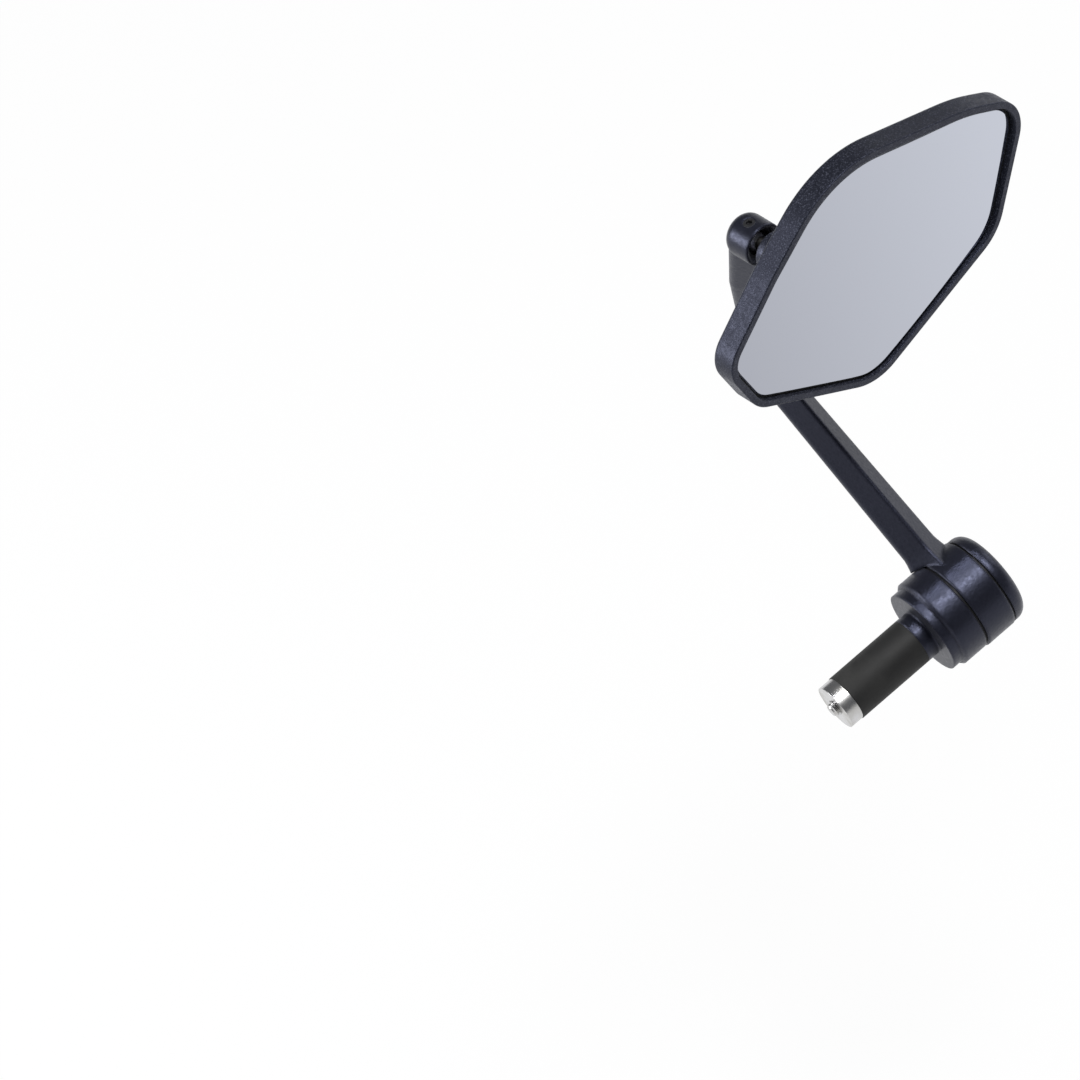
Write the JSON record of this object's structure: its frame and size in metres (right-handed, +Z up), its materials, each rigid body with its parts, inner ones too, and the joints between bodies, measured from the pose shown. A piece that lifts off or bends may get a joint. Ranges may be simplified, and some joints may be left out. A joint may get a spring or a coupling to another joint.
{
  "type": "motorcycle bar end mirror",
  "caption": "Eight sided convex mirror on a ball joint at the end of a bent cast arm, with a ring stack and an expanding plug that grips the end of a handlebar.",
  "frame": {"origin": "on the handlebar axis, in the plane of the face that seats on the end of the handlebar", "axes": "+X along the handlebar, pointing outboard; +Y forward; +Z up; the glass faces -Y, turned a little outboard"},
  "size_m": [0.1613, 0.0977, 0.1959],
  "materials": {
    "black_coat": "satin black coat on cast aluminium",
    "housing_coat": "fine textured charcoal coat",
    "mirror_glass": "silvered convex glass",
    "black_rubber": "matt black rubber",
    "foam": "closed cell foam",
    "black_nylon": "moulded black nylon",
    "steel": "zinc plated steel",
    "black_steel": "black oxide steel"
  },
  "bodies": {
    "plug": {"bar_end_flange": "black_coat", "expander_sleeve": "black_rubber", "expander_nut": "steel", "clamp_bolt": "steel", "bolt_plain_washer": "steel", "bolt_spring_washer": "steel", "end_cap": "black_coat"},
    "arm": {"mirror_arm": "black_coat", "inner_bush": "black_nylon", "outer_bush": "black_nylon", "socket_set_screw": "black_steel", "cup_retaining_ring": "black_steel"},
    "cup": {"ball_cup": "black_nylon"},
    "stud": {"ball_stud": "steel", "stud_washer": "steel", "stud_nut": "steel"},
    "head": {"mirror_housing": "housing_coat", "foam_pad": "foam", "glass_gasket": "black_rubber", "mirror_glass": "mirror_glass"}
  },
  "joints": [
    {"name": "arm_swivel", "type": "hinge", "parent": "plug", "child": "arm", "pos_m": [0.02035, 0, 0], "axis": [1, 0, 0], "continuous": true},
    {"name": "mirror_pan", "type": "hinge", "parent": "arm", "child": "cup", "pos_m": [0.0219, 0.05201, 0.15377], "axis": [0, 0, 1], "range_deg": [-15, 15]},
    {"name": "mirror_tilt", "type": "hinge", "parent": "cup", "child": "stud", "pos_m": [0.0219, 0.05201, 0.15377], "axis": [0.9952, 0.0976, 0], "range_deg": [-15, 15]},
    {"name": "mirror_roll", "type": "hinge", "parent": "stud", "child": "head", "pos_m": [0.0219, 0.05201, 0.15377], "axis": [0.0976, -0.9952, 0], "range_deg": [-45, 45]}
  ]
}
